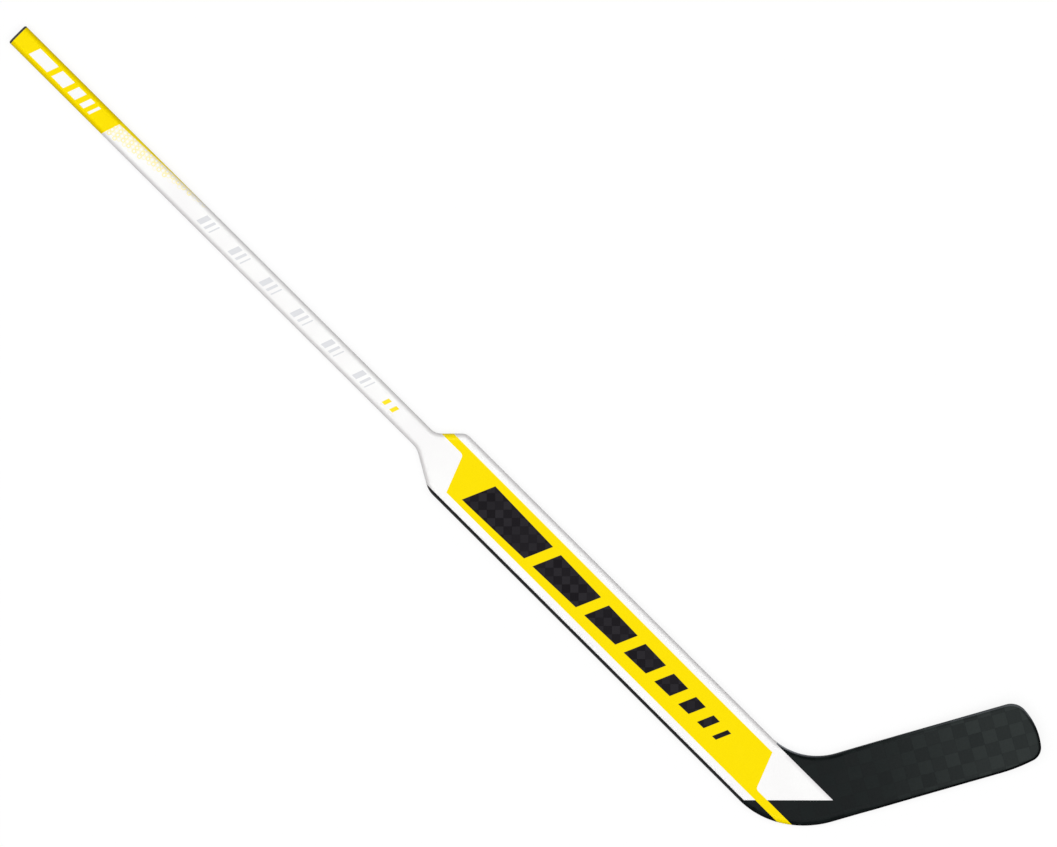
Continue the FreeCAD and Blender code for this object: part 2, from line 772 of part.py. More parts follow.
bridge_low = sole_aside + s.bridge_height
bridge_high = bridge_low + s.bridge_width
blade_span = (taper_start, toe_end)
heel_span = (-whole_reach, taper_start)
heel_room = blade_room("heel_room", heel_span, (-whole_reach, whole_reach))
bridge_room = blade_room("bridge_room", blade_span, (bridge_low, bridge_high))
upper_room = blade_room("upper_room", blade_span, (bridge_high, whole_reach))
lower_room = blade_room("lower_room", blade_span, (-whole_reach, bridge_low))
heel_whole = common("heel_whole", blade_middle, heel_room)
heel_block = cut("heel_block", heel_whole, blade_tenon)
blade_bridge = common("blade_bridge", blade_middle, bridge_room)
blade_core_upper = common("blade_core_upper", blade_middle, upper_room)
blade_core_lower = common("blade_core_lower", blade_middle, lower_room)

# Plug that closes the butt
end_plug = doc.addObject("PartDesign::Body", "end_plug")


def plug_sketch(name, offset):
    sketch = end_plug.newObject("Sketcher::SketchObject", name)
    attach(end_plug, sketch, "YZ_Plane")
    sketch.setExpression("AttachmentOffset.Base.z", offset.text)
    return sketch


def plug_section(name, half_width, low, radius, offset):
    sketch = plug_sketch(name, offset)
    rounded_rectangle(sketch, half_width, low, s.stick_depth - low, radius)
    return sketch


ridge_inset = s.wall + s.plug_gap
stem_inset = ridge_inset + s.ridge_height
hole_inset = stem_inset + s.plug_wall
flange_sketch = plug_section("flange_sketch", half_shaft, ZERO, s.corner_round, ZERO)
flange_pad = pad(end_plug, flange_sketch, s.flange_thickness)
doc.recompute()
flange_rim = []
for number, edge in enumerate(flange_pad.Shape.Edges, start=1):
    if edge.BoundBox.XMax < SAME:
        flange_rim.append(f"Edge{number}")
flange_edge = end_plug.newObject("PartDesign::Chamfer", "flange_edge")
flange_edge.Base = (flange_pad, flange_rim)
flange_edge.setExpression("Size", s.flange_bevel.text)
stem_sketch = plug_section(
    "stem_sketch", half_shaft - stem_inset, stem_inset, s.corner_round - stem_inset, s.flange_thickness
)
pad(end_plug, stem_sketch, s.plug_length)
ridge_pitch = s.plug_length / (s.ridge_count + 1)
ridge_start = s.flange_thickness + ridge_pitch
ridge_sketch = plug_sketch("ridge_sketch", ridge_start)
ridge_half = half_shaft - s.corner_round
ridge_top = s.stick_depth - ridge_inset
polygon(
    ridge_sketch,
    [
        (-ridge_half, ridge_inset),
        (ridge_half, ridge_inset),
        (ridge_half, ridge_top),
        (-ridge_half, ridge_top),
    ],
)
ridge = pad(end_plug, ridge_sketch, s.ridge_width)
doc.recompute()
ridges = end_plug.newObject("PartDesign::LinearPattern", "ridges")
ridges.Originals = [ridge]
ridges.Direction = ([item for item in end_plug.Origin.OriginFeatures if item.Role == "X_Axis"][0], [""])
ridges.Mode = "Spacing"
ridges.setExpression("Offset", ridge_pitch.text)
ridges.setExpression("Occurrences", s.ridge_count.text)
end_plug.Tip = ridges
doc.recompute()
hole_sketch = plug_section(
    "hole_sketch", half_shaft - hole_inset, hole_inset, s.plug_hole_round, s.flange_thickness
)
hole = end_plug.newObject("PartDesign::Pocket", "hole")
hole.Profile = hole_sketch
hole.Reversed = True
hole.setExpression("Length", (s.plug_length + s.overrun).text)
end_plug.Tip = hole
bind_place(end_plug, -(s.butt_reach + s.flange_thickness))
doc.recompute()

# Checks and files
NODES = [
    end_plug,
    shaft_tube,
    butt_band_film,
    paddle_spar,
    paddle_front_shell,
    paddle_back_shell,
    paddle_upper_rail,
    paddle_lower_rail,
    paddle_core_upper,
    paddle_core_lower,
    paddle_front_film,
    paddle_back_film,
    blade_tenon,
    heel_block,
    blade_front_skin,
    blade_back_skin,
    blade_edge_band,
    blade_bridge,
    blade_core_upper,
    blade_core_lower,
    heel_stripe_front,
    heel_stripe_back,
]
for item in doc.Objects:
    if {"Invalid", "Error"} & set(item.State):
        raise RuntimeError(f"{item.Label} failed: {item.State}")
for node in NODES:
    if node.Shape.isNull() or not node.Shape.isValid() or len(node.Shape.Solids) != 1:
        raise RuntimeError(f"{node.Label} is not one sound solid")
os.makedirs("parts", exist_ok=True)
for node in NODES:
    node.Shape.exportStep(f"parts/{node.Label}.step")
    print(node.Label, round(node.Shape.Volume), "cubic mm")
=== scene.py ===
"""Looks of the hockey goalie stick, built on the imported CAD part.

Every solid stays as it was packed. This script gives each one its finish: gloss paint, printed film,
spread-tow carbon, rubber and foam. All lengths are in metres, in the part's own frame: +X runs down
the shaft to the blade, +Y points to the toe side and +Z out of the front face.
"""
import json
import math

import bpy
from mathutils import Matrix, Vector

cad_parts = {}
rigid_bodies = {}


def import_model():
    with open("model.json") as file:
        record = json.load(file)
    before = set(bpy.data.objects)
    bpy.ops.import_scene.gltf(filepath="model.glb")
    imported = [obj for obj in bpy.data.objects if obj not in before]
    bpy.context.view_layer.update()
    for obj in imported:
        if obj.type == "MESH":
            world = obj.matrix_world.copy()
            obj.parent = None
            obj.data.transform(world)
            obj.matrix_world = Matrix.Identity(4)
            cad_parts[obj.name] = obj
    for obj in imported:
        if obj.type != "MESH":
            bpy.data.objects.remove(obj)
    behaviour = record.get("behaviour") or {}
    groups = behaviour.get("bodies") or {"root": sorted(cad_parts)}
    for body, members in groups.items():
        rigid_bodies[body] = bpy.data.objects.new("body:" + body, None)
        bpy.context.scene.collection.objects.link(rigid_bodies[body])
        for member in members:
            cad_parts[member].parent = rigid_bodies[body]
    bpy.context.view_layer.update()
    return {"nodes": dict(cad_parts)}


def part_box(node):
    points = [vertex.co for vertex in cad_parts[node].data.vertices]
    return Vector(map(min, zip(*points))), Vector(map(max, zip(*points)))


for left_over in list(bpy.data.objects):
    bpy.data.objects.remove(left_over)
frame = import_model()
nodes = frame["nodes"]

MM = 0.001

# The photograph: its width in pixels, its scale, how far the stick is turned and what its middle shows
PHOTO_WIDTH = 1057
PHOTO_SCALE = 1.32244 * MM
PHOTO_TURN = math.radians(44.874)
PHOTO_MIDDLE = (44.1 * MM, 111.95 * MM)

# The camera: how far it stands from the front face, how far it sees, and its sensor's width in mm
CAMERA_DISTANCE, CAMERA_SIGHT = 12.0, 120.0
SENSOR = 36.0

# Light levels of the world and of each of the four lamps, which add up to 1 on a face that looks up
WORLD_SHARE = 0.14
LAMP_SHARE = (1 - WORLD_SHARE) / 4
KEY_TILT, KEY_SPREAD = math.radians(12), math.radians(30)
FILL_TILT, FILL_SPREAD = math.radians(24), math.radians(40)

# Places on the stick that the print follows
film_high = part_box("paddle_front_film")[1]
band_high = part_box("butt_band_film")[1]
shaft_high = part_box("shaft_tube")[1]
stripe_low, stripe_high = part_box("heel_stripe_front")
HALF_SHAFT = shaft_high.y
FRONT = shaft_high.z
STRIPE_SOFT = 0.15 * MM

# The blade: where its straight part starts, which way it runs, and the arc of its toe
BLADE_ORIGIN = (681.2 * MM, 43.0 * MM, 0.0)
BLADE_TURN = math.radians(61)
BLADE_LENGTH = 287.5 * MM
TOE_WARD = (math.cos(BLADE_TURN), math.sin(BLADE_TURN), 0.0)
TOP_WARD = (-math.sin(BLADE_TURN), math.cos(BLADE_TURN), 0.0)
SOLE_WARD = (math.sin(BLADE_TURN), -math.cos(BLADE_TURN), 0.0)
TOE_CENTRE = (771.75 * MM, 221.8 * MM)
TOE_RADIUS = 85 * MM

# Printed marks: how far they lean and how soft their edges are
PRINT_SLANT = 0.36
PRINT_SOFT = 0.25 * MM
PANEL_SLANT = math.tan(math.radians(23.5))
PANEL_SOFT = 0.3 * MM

# Finishes: how strongly each one mirrors, and the angles over which the white paint and yellow film turn
# to their painted edge shade
PAINT_GLOSS = 0.12
RAIL_GLOSS = 0.1
FILM_GLOSS = 0.015
SKIN_GLOSS = 0.05
WRAP_GLOSS = 0.03
RUBBER_GLOSS = 0.25
LAMINATE_GLOSS = 0.35
FOAM_GLOSS = 0.1
EDGE_SHADE_ANGLES = (2, 38)

# The range that holds most of a noise's values
NOISE_RANGE = (0.3, 0.7)


def srgb(red, green, blue):
    """A colour as a screen shows it, 0 to 255, in the linear values that a shader takes."""
    def linear(level):
        share = level / 255
        return share / 12.92 if share <= 0.04045 else ((share + 0.055) / 1.055) ** 2.4
    return (linear(red), linear(green), linear(blue), 1.0)


WHITE = srgb(251, 251, 250)
WHITE_DEEP = srgb(248, 247, 247)
# Painted shade over the rounded edges of the white paint
EDGE_SHADE_WHITE = srgb(232, 230, 230)
GHOST_GREY = srgb(222, 223, 226)
SHADE_GREY = srgb(226, 223, 225)
YELLOW = srgb(255, 229, 0)
YELLOW_DEEP = srgb(250, 222, 0)
# Painted shade over the rounded edges of the yellow film
EDGE_SHADE_YELLOW = srgb(243, 214, 0)
PALE_YELLOW = srgb(255, 241, 172)
PRINT_BLACK = srgb(17, 14, 18)
PRINT_GREY = srgb(44, 42, 46)
RAIL_BLACK = srgb(16, 16, 17)
RAIL_GREY = srgb(28, 27, 28)
HEEL_DARK = srgb(6, 10, 11)
HEEL_LIGHT = srgb(20, 25, 25)
TOE_DARK = srgb(23, 28, 28)
TOE_LIGHT = srgb(48, 53, 52)
# Black painted shade on the blade's lower and toe edges
RIM_SHADE_BLACK = srgb(7, 8, 9)
# The blade's pale top rim: white paint at the throat with painted highlight, painted highlight towards the
# toe
PALE_PAINT_AND_HIGHLIGHT = srgb(184, 188, 196)
RUBBER_DARK = srgb(46, 46, 46)
RUBBER_LIGHT = srgb(64, 64, 63)
FOAM_DARK = srgb(196, 190, 172)
FOAM_LIGHT = srgb(222, 217, 200)
DENSE_DARK = srgb(150, 140, 118)
DENSE_LIGHT = srgb(172, 162, 138)
FLOOR_SEEN = srgb(244, 244, 244)
FLOOR_BOUNCE = srgb(185, 185, 185)


class Surface:
    """A material on one Principled shader, with short calls for the nodes that drive it."""

    def __init__(self, name, **constants):
        self.material = bpy.data.materials.new(name)
        self.material.use_nodes = True
        self.tree = self.material.node_tree
        self.shader = self.tree.nodes["Principled BSDF"]
        for socket, value in constants.items():
            self.shader.inputs[socket.replace("_", " ")].default_value = value
        self.place = self.node("ShaderNodeTexCoord", {}, "Object")
        self.x, self.y, _ = self.parts(self.place)

    def node(self, kind, inputs, output=0, **settings):
        """Adds a node, sets or links its inputs, and returns one of its outputs."""
        made = self.tree.nodes.new(kind)
        for setting, value in settings.items():
            setattr(made, setting, value)
        for socket, value in inputs.items():
            self.feed(made.inputs[socket], value)
        return made.outputs[output]

    def feed(self, socket, value):
        """Links an output to a socket, or sets a plain value on it."""
        if isinstance(value, bpy.types.NodeSocket):
            self.tree.links.new(value, socket)
        else:
            socket.default_value = value

    def parts(self, vector):
        """The three parts of a vector."""
        split = self.tree.nodes.new("ShaderNodeSeparateXYZ")
        self.tree.links.new(vector, split.inputs[0])
        return split.outputs

    def math(self, operation, *values):
        """One step of arithmetic on numbers and sockets."""
        return self.node("ShaderNodeMath", dict(enumerate(values)), operation=operation)

    def ramp(self, value, low, high, start=0.0, end=1.0, course="SMOOTHSTEP"):
        """Goes from start to end as value goes from low to high."""
        inputs = {"Value": value, "From Min": low, "From Max": high, "To Min": start, "To Max": end}
        return self.node("ShaderNodeMapRange", inputs, interpolation_type=course)

    def within(self, value, low, high, soft):
        """1 between low and high and 0 outside, blurred by soft to each side of both edges."""
        rise = self.ramp(value, low - soft, low + soft)
        fall = self.ramp(value, high - soft, high + soft, 1.0, 0.0)
        return self.math("MULTIPLY", rise, fall)

    def both(self, *masks):
        """1 where every mask is."""
        result = masks[0]
        for mask in masks[1:]:
            result = self.math("MULTIPLY", result, mask)
        return result

    def either(self, *masks):
        """1 where any mask is."""
        result = masks[0]
        for mask in masks[1:]:
            result = self.math("MAXIMUM", result, mask)
        return result

    def mix(self, share, first, second):
        """A colour between first and second."""
        made = self.tree.nodes.new("ShaderNodeMix")
        made.data_type = "RGBA"
        for socket, value in ((0, share), (6, first), (7, second)):
            self.feed(made.inputs[socket], value)
        return made.outputs[2]

    def noise(self, size, detail=2.0):
        """Noise whose lumps are about size across."""
        inputs = {"Vector": self.place, "Scale": 1 / size, "Detail": detail}
        return self.node("ShaderNodeTexNoise", inputs)

    def slanted(self, slant):
        """The distance along the stick, sheared so that a line of one value leans across it."""
        return self.math("ADD", self.x, self.math("MULTIPLY", self.y, slant))

    def normal(self):
        """The direction that the surface faces, in the part's frame."""
        return self.node("ShaderNodeTexCoord", {}, "Normal")

    def lean(self, start, end):
        """0 where the surface lies as flat as the stick's faces do, 1 where it leans away from them.

        It rises between two angles, in degrees.
        """
        upright = self.math("ABSOLUTE", self.parts(self.normal())[2])
        return self.ramp(upright, math.cos(math.radians(start)), math.cos(math.radians(end)))

    def facing(self, direction):
        """How squarely the surface faces a direction, from -1 to 1."""
        inputs = {0: self.normal(), 1: direction}
        return self.node("ShaderNodeVectorMath", inputs, "Value", operation="DOT_PRODUCT")

    def reach(self, direction, origin):
        """How far a point lies from an origin, measured in one direction."""
        inputs = {0: self.place, 1: direction}
        reached = self.node("ShaderNodeVectorMath", inputs, "Value", operation="DOT_PRODUCT")
        return self.math("SUBTRACT", reached, sum(a * b for a, b in zip(direction, origin)))

    def distance(self, along, across):
        """How long the straight line is that covers two distances at right angles."""
        squares = self.math("MULTIPLY_ADD", along, along, self.math("MULTIPLY", across, across))
        return self.math("SQRT", squares)

    def steps(self, value, start, pitch):
        """Cuts a distance into steps, and returns the middle of the step and the distance from it."""
        step = self.math("FLOOR", self.math("DIVIDE", self.math("SUBTRACT", value, start), pitch))
        middle = self.math("MULTIPLY_ADD", step, pitch, start + pitch / 2)
        return middle, self.math("SUBTRACT", value, middle)

    def colour(self, value):
        """Sets the shader's colour."""
        self.feed(self.shader.inputs["Base Color"], value)

    def roughness(self, value):
        """Sets how dull the shader is."""
        self.feed(self.shader.inputs["Roughness"], value)

    def relief(self, height, depth):
        """Raises the surface by depth where height is 1."""
        inputs = {"Height": height, "Distance": depth, "Strength": 1.0}
        self.feed(self.shader.inputs["Normal"], self.node("ShaderNodeBump", inputs))

    def dress(self, *names):
        """Puts the material on CAD nodes."""
        for name in names:
            for place in nodes[name].material_slots:
                place.material = self.material


class Weave:
    """Flat carbon tows that cross over and under each other in cells of one size."""

    ALONG_THREAD, ACROSS_THREADS, THREAD_DETAIL = 0.6, 34.0, 3.0

    def __init__(self, surface, cell, turn=0.0, origin=(0.0, 0.0, 0.0)):
        self.surface = surface
        inputs = {
            "Vector": surface.place,
            "Location": origin,
            "Rotation": (0.0, 0.0, turn),
            "Scale": (*cell, 1.0),
        }
        turned = surface.node("ShaderNodeMapping", inputs, vector_type="TEXTURE")
        self.along, self.across, _ = surface.parts(turned)
        columns = surface.math("FLOOR", self.along)
        rows = surface.math("FLOOR", self.across)
        self.over = surface.math("FLOORED_MODULO", surface.math("ADD", columns, rows), 2.0)
        cell_id = surface.node("ShaderNodeCombineXYZ", {"X": columns, "Y": rows})
        self.tone = surface.node("ShaderNodeTexWhiteNoise", {"Vector": cell_id})
        under = surface.math("SUBTRACT", 1.0, self.over)
        self.fibre = surface.math(
            "ADD",
            surface.math("MULTIPLY", self.over, self.threads(self.ALONG_THREAD, self.ACROSS_THREADS)),
            surface.math("MULTIPLY", under, self.threads(self.ACROSS_THREADS, self.ALONG_THREAD)),
        )
        self.seam = surface.math("MINIMUM", self.from_edge(self.along), self.from_edge(self.across))

    def threads(self, rate_along, rate_across):
        """Fine streaks that run along one tow, with so many to a cell each way."""
        inputs = {
            "X": self.surface.math("MULTIPLY", self.along, rate_along),
            "Y": self.surface.math("MULTIPLY", self.across, rate_across),
        }
        where = self.surface.node("ShaderNodeCombineXYZ", inputs)
        inputs = {"Vector": where, "Scale": 1.0, "Detail": self.THREAD_DETAIL}
        return self.surface.node("ShaderNodeTexNoise", inputs)

    def from_edge(self, value):
        """How far a point is from the nearest cell edge, as a share of a cell."""
        return self.surface.math("PINGPONG", value, 0.5)

    def lightness(self):
        """How light each point looks, 0 to 1: by tow, by cell and by thread, darker at the seams."""
        OVER_PART, CELL_PART, THREAD_PART = 0.42, 0.28, 0.34
        SEAM_WIDTH, SEAM_LEVEL = 0.05, 0.6
        by_cell = self.surface.math("MULTIPLY", self.tone, CELL_PART)
        cells = self.surface.math("MULTIPLY_ADD", self.over, OVER_PART, by_cell)
        lit = self.surface.math("ADD", cells, self.surface.math("MULTIPLY", self.fibre, THREAD_PART))
        seams = self.surface.ramp(self.seam, 0.0, SEAM_WIDTH, SEAM_LEVEL, 1.0)
        return self.surface.math("MULTIPLY", lit, seams)


def paint_base(surface):
    """White gloss paint with a faint drift of tone, and painted shade that greys it over the rounded
    edges.
    """
    DRIFT_SIZE = 60 * MM
    DRIFT_RANGE = (0.35, 0.65)
    drift = surface.ramp(surface.noise(DRIFT_SIZE), *DRIFT_RANGE)
    # The grey over the rounded edges is painted shade
    return surface.mix(surface.lean(*EDGE_SHADE_ANGLES), surface.mix(drift, WHITE_DEEP, WHITE), EDGE_SHADE_WHITE)


def paint_finish(surface):
    """The gloss of the paint, with the fine ripple that spraying leaves."""
    HAZE_SIZE, HAZE_DETAIL = 24 * MM, 4.0
    ROUGHNESS = (0.3, 0.4)
    RIPPLE_SIZE, RIPPLE_DETAIL, RIPPLE_DEPTH = 3.2 * MM, 3.0, 0.02 * MM
    surface.roughness(surface.ramp(surface.noise(HAZE_SIZE, HAZE_DETAIL), *NOISE_RANGE, *ROUGHNESS))
    surface.relief(surface.noise(RIPPLE_SIZE, RIPPLE_DETAIL), RIPPLE_DEPTH)


def shaft_rings(surface):
    """Rings on both faces, in two sets half a step apart, fewer and fewer away from the band."""
    SETS = ((0.0, 1.0), (0.5, 0.5))
    PITCH = (10.1 * MM, 5.95 * MM)
    START = (-615.15 * MM, 2.02 * MM)
    INSIDE, OUTSIDE = 1.7 * MM, 3.1 * MM
    END, FADE, END_SLANT = -552 * MM, 12 * MM, -7.0
    FACE_ANGLES = (30, 60)
    rings = []
    for shift, strength in SETS:
        start_x, start_y = (start + shift * pitch for start, pitch in zip(START, PITCH))
        middle_x, off_x = surface.steps(surface.x, start_x, PITCH[0])
        middle_y, off_y = surface.steps(surface.y, start_y, PITCH[1])
        ring = surface.within(surface.distance(off_x, off_y), INSIDE, OUTSIDE, PRINT_SOFT)
        reached = surface.math("MULTIPLY_ADD", middle_y, END_SLANT, middle_x)
        rings.append(surface.both(ring, surface.ramp(reached, END - FADE, END, strength, 0.0)))
    face = surface.ramp(surface.lean(*FACE_ANGLES), 0.0, 1.0, 1.0, 0.0)
    return surface.both(surface.either(*rings), face)


def shaft_side(surface):
    """Solid colour on the narrow side, slimmer and slimmer away from the band."""
    WIDE, SLIM, SLIM_FROM = 4.7 * MM, 1.5 * MM, -525 * MM
    END, FADE = -450 * MM, 70 * MM
    SOFT = 0.4 * MM
    edge = surface.ramp(
        surface.x, band_high.x, SLIM_FROM, HALF_SHAFT - WIDE, HALF_SHAFT - SLIM, course="LINEAR"
    )
    past_edge = surface.ramp(surface.math("SUBTRACT", surface.y, edge), -SOFT, SOFT)
    return surface.both(past_edge, surface.ramp(surface.x, END - FADE, END, 1.0, 0.0))


def shaft_ticks(surface, sheared):
    """Slanted ticks in threes, in a row down the middle of both faces."""
    PITCH = 58 * MM
    TICKS = ((10 * MM, 18 * MM), (23 * MM, 27 * MM), (32 * MM, 34 * MM))
    START, END = -458 * MM, -135 * MM
    HALF_HEIGHT = 7.5 * MM
    phase = surface.math("FLOORED_MODULO", sheared, PITCH)
    return surface.both(
        surface.either(*[surface.within(phase, *tick, PRINT_SOFT) for tick in TICKS]),
        surface.within(surface.y, -HALF_HEIGHT, HALF_HEIGHT, PRINT_SOFT),
        surface.within(sheared, START, END, PRINT_SOFT),
    )


def shaft_marks(surface, sheared):
    """Two small slanted marks near the paddle."""
    PLACES = (-112 * MM, -98 * MM)
    WIDTH, HALF_HEIGHT = 6 * MM, 5 * MM
    marks = [surface.within(sheared, place, place + WIDTH, PRINT_SOFT) for place in PLACES]
    return surface.both(
        surface.either(*marks), surface.within(surface.y, -HALF_HEIGHT, HALF_HEIGHT, PRINT_SOFT)
    )


def shaft_paint():
    """White paint of the shaft, which the butt's colour runs into, with pale and coloured marks."""
    surface = Surface("shaft_white_paint", Specular_IOR_Level=PAINT_GLOSS)
    sheared = surface.slanted(-PRINT_SLANT)
    colour = surface.mix(shaft_rings(surface), paint_base(surface), PALE_YELLOW)
    colour = surface.mix(shaft_side(surface), colour, YELLOW)
    colour = surface.mix(shaft_ticks(surface, sheared), colour, GHOST_GREY)
    surface.colour(surface.mix(shaft_marks(surface, sheared), colour, YELLOW))
    paint_finish(surface)
    surface.dress("shaft_tube")


def paddle_stripe(surface):
    """The panel's upper stripe, over the shoulder's edge, and a sliver of its colour beside the film.

    The sliver narrows towards the blade, because the photograph's panel leans a little on the paddle.
    """
    STRIPE_WIDTH, STRIPE_END = 10.0 * MM, 60 * MM
    SLIVER_WIDTH, SLIVER_END = 1.27 * MM, 460 * MM
    OVERLAP, FADE = 0.3 * MM, 1 * MM
    foot = film_high.y - STRIPE_WIDTH
    over_edge = surface.both(
        surface.ramp(surface.y, foot - STRIPE_SOFT, foot + STRIPE_SOFT),
        surface.ramp(surface.x, STRIPE_END - FADE, STRIPE_END, 1.0, 0.0),
    )
    beside_film = surface.both(
        surface.ramp(surface.y, film_high.y - OVERLAP, film_high.y),
        surface.ramp(surface.x, SLIVER_END - FADE, SLIVER_END, 1.0, 0.0),
    )
    edge = surface.ramp(
        surface.x, 0.0, SLIVER_END, film_high.y + SLIVER_WIDTH, film_high.y, course="LINEAR"
    )
    past_edge = surface.math("SUBTRACT", surface.y, edge)
    inside = surface.ramp(past_edge, -STRIPE_SOFT, STRIPE_SOFT, 1.0, 0.0)
    return surface.both(surface.either(over_edge, beside_film), inside)


def paddle_paint():
    """White paint of the paddle, with painted shade at its tip, and the rail's black running a little up
    the face.
    """
    TIP_START, TIP_EDGE, TIP_SHADE = 590 * MM, 44 * MM, 8 * MM
    RAIL_EDGE, RAIL_SOFT = -40.1 * MM, 0.25 * MM
    surface = Surface("paddle_white_paint", Specular_IOR_Level=PAINT_GLOSS)
    # Painted shade at the tip, greyer towards its upper edge
    shade = surface.both(
        surface.ramp(surface.y, TIP_EDGE - TIP_SHADE, TIP_EDGE),
        surface.ramp(surface.x, TIP_START, TIP_START + TIP_SHADE),
    )
    over_rail = surface.ramp(surface.y, RAIL_EDGE - RAIL_SOFT, RAIL_EDGE + RAIL_SOFT, 1.0, 0.0)
    colour = surface.mix(shade, paint_base(surface), SHADE_GREY)
    colour = surface.mix(over_rail, colour, RAIL_BLACK)
    surface.colour(surface.mix(paddle_stripe(surface), colour, YELLOW))
    paint_finish(surface)
    surface.dress("paddle_front_shell", "paddle_back_shell", "paddle_upper_rail")


def rail_paint():
    """Black gloss of the lower rail, rubbed a little paler in patches, as the ice wears it."""
    RUB_SIZE, RUB_DETAIL = 9 * MM, 5.0
    RUB_RANGE = (0.45, 0.7)
    ROUGHNESS = (0.34, 0.5)
    RIPPLE_SIZE, RIPPLE_DETAIL, RIPPLE_DEPTH = 2.4 * MM, 3.0, 0.02 * MM
    surface = Surface("rail_black_paint", Specular_IOR_Level=RAIL_GLOSS)
    rub = surface.ramp(surface.noise(RUB_SIZE, RUB_DETAIL), *RUB_RANGE)
    surface.colour(surface.mix(rub, RAIL_BLACK, RAIL_GREY))
    surface.roughness(surface.ramp(rub, 0.0, 1.0, *ROUGHNESS))
    surface.relief(surface.noise(RIPPLE_SIZE, RIPPLE_DETAIL), RIPPLE_DEPTH)
    surface.dress("paddle_lower_rail")


def film_base(surface):
    """Yellow printed film: an even ink with a fine grain, and painted shade that deepens it over the
    rounded edges.
    """
    GRAIN_SIZE, GRAIN_DETAIL = 1.1 * MM, 3.0
    GRAIN_RANGE = (0.4, 0.75)
    grain = surface.ramp(surface.noise(GRAIN_SIZE, GRAIN_DETAIL), *GRAIN_RANGE)
    # The deeper yellow over the rounded edges is painted shade
    return surface.mix(surface.lean(*EDGE_SHADE_ANGLES), surface.mix(grain, YELLOW, YELLOW_DEEP), EDGE_SHADE_YELLOW)


def film_finish(surface):
    """The satin of the film, with the faint relief of what it is laid on."""
    HAZE_SIZE, HAZE_DETAIL = 18 * MM, 4.0
    ROUGHNESS = (0.32, 0.42)
    RELIEF_SIZE, RELIEF_DETAIL, RELIEF_DEPTH = 2.8 * MM, 3.0, 0.015 * MM
    surface.roughness(surface.ramp(surface.noise(HAZE_SIZE, HAZE_DETAIL), *NOISE_RANGE, *ROUGHNESS))
    surface.relief(surface.noise(RELIEF_SIZE, RELIEF_DETAIL), RELIEF_DEPTH)


def butt_film():
    """The butt band, with white slanted bars that thin out towards its end."""
    HALF_HEIGHT = 8 * MM
    BARS = (
        (-766 * MM, 34 * MM), (-724 * MM, 22 * MM), (-694 * MM, 14 * MM), (-672 * MM, 8 * MM),
        (-657 * MM, 4 * MM),
    )
    surface = Surface("butt_yellow_film", Specular_IOR_Level=FILM_GLOSS)
    sheared = surface.slanted(-PRINT_SLANT)
    bars = [surface.within(sheared, start, start + width, PRINT_SOFT) for start, width in BARS]
    height = surface.within(surface.y, -HALF_HEIGHT, HALF_HEIGHT, PRINT_SOFT)
    print_mask = surface.both(surface.either(*bars), height)
    surface.colour(surface.mix(print_mask, film_base(surface), WHITE))
    film_finish(surface)
    surface.dress("butt_band_film")


def panel_film():
    """The paddle's panel, with a black woven wedge cut into slanted bars that thin out to the blade."""
    CELL, CELL_TURN = (11 * MM, 11 * MM), math.radians(45)
    WEDGE_START, WEDGE_END = 58 * MM, 560 * MM
    HALF_AT_START, HALF_AT_END = 22 * MM, 9 * MM
    WEDGE_MIDDLE = 0.5 * MM
    FIRST_BAR, BAR_GAP = 62 * MM, 15 * MM
    BAR_WIDTHS = (112 * MM, 78 * MM, 56 * MM, 40 * MM, 28 * MM, 19 * MM, 12 * MM, 7 * MM)
    surface = Surface("panel_yellow_film", Specular_IOR_Level=FILM_GLOSS)
    sheared = surface.slanted(-PANEL_SLANT)
    bars = []
    start = FIRST_BAR
    for width in BAR_WIDTHS:
        bars.append(surface.within(sheared, start, start + width, PANEL_SOFT))
        start += width + BAR_GAP
    half = surface.ramp(
        surface.x, WEDGE_START, WEDGE_END, HALF_AT_START, HALF_AT_END, course="LINEAR"
    )
    from_middle = surface.math("ABSOLUTE", surface.math("SUBTRACT", surface.y, WEDGE_MIDDLE))
    inside = surface.ramp(surface.math("SUBTRACT", half, from_middle), -PANEL_SOFT, PANEL_SOFT)
    wedge = surface.both(surface.either(*bars), inside)
    black = surface.mix(Weave(surface, CELL, CELL_TURN).lightness(), PRINT_BLACK, PRINT_GREY)
    surface.colour(surface.mix(wedge, film_base(surface), black))
    film_finish(surface)
    surface.dress("paddle_front_film", "paddle_back_film")


def stripe_film():
    """The stripe that crosses the heel."""
    surface = Surface("stripe_yellow_film", Specular_IOR_Level=FILM_GLOSS)
    surface.colour(film_base(surface))
    film_finish(surface)
    surface.dress("heel_stripe_front", "heel_stripe_back")


def painted_shade_rim(surface, along, top_side):
    """Painted shade on the blade's rim, in black: below, from where the thin blade's edge turns, and round
    the toe.
    """
    TURN_ANGLES = (30, 55)
    SOLE_FACING = (0.02, 0.12)
    THIN_FROM, THIN_TO = 27 * MM, 63 * MM
    TOE_FROM, TOE_TO = 259 * MM, 265 * MM
    TOE_RIM, TOE_SOFT = 3.2 * MM, 1.6 * MM
    sole_turn = surface.both(
        surface.ramp(surface.facing(SOLE_WARD), *SOLE_FACING),
        surface.ramp(along, THIN_FROM, THIN_TO),
    )
    toe_x = surface.math("SUBTRACT", surface.x, TOE_CENTRE[0])
    toe_y = surface.math("SUBTRACT", surface.y, TOE_CENTRE[1])
    from_toe = surface.math("SUBTRACT", TOE_RADIUS, surface.distance(toe_x, toe_y))
    toe_rim = surface.both(
        surface.ramp(from_toe, TOE_RIM - TOE_SOFT, TOE_RIM + TOE_SOFT, 1.0, 0.0),
        surface.ramp(along, TOE_FROM, TOE_TO),
    )
    turned = surface.either(surface.lean(*TURN_ANGLES), sole_turn, toe_rim)
    return surface.both(turned, surface.math("SUBTRACT", 1.0, top_side))


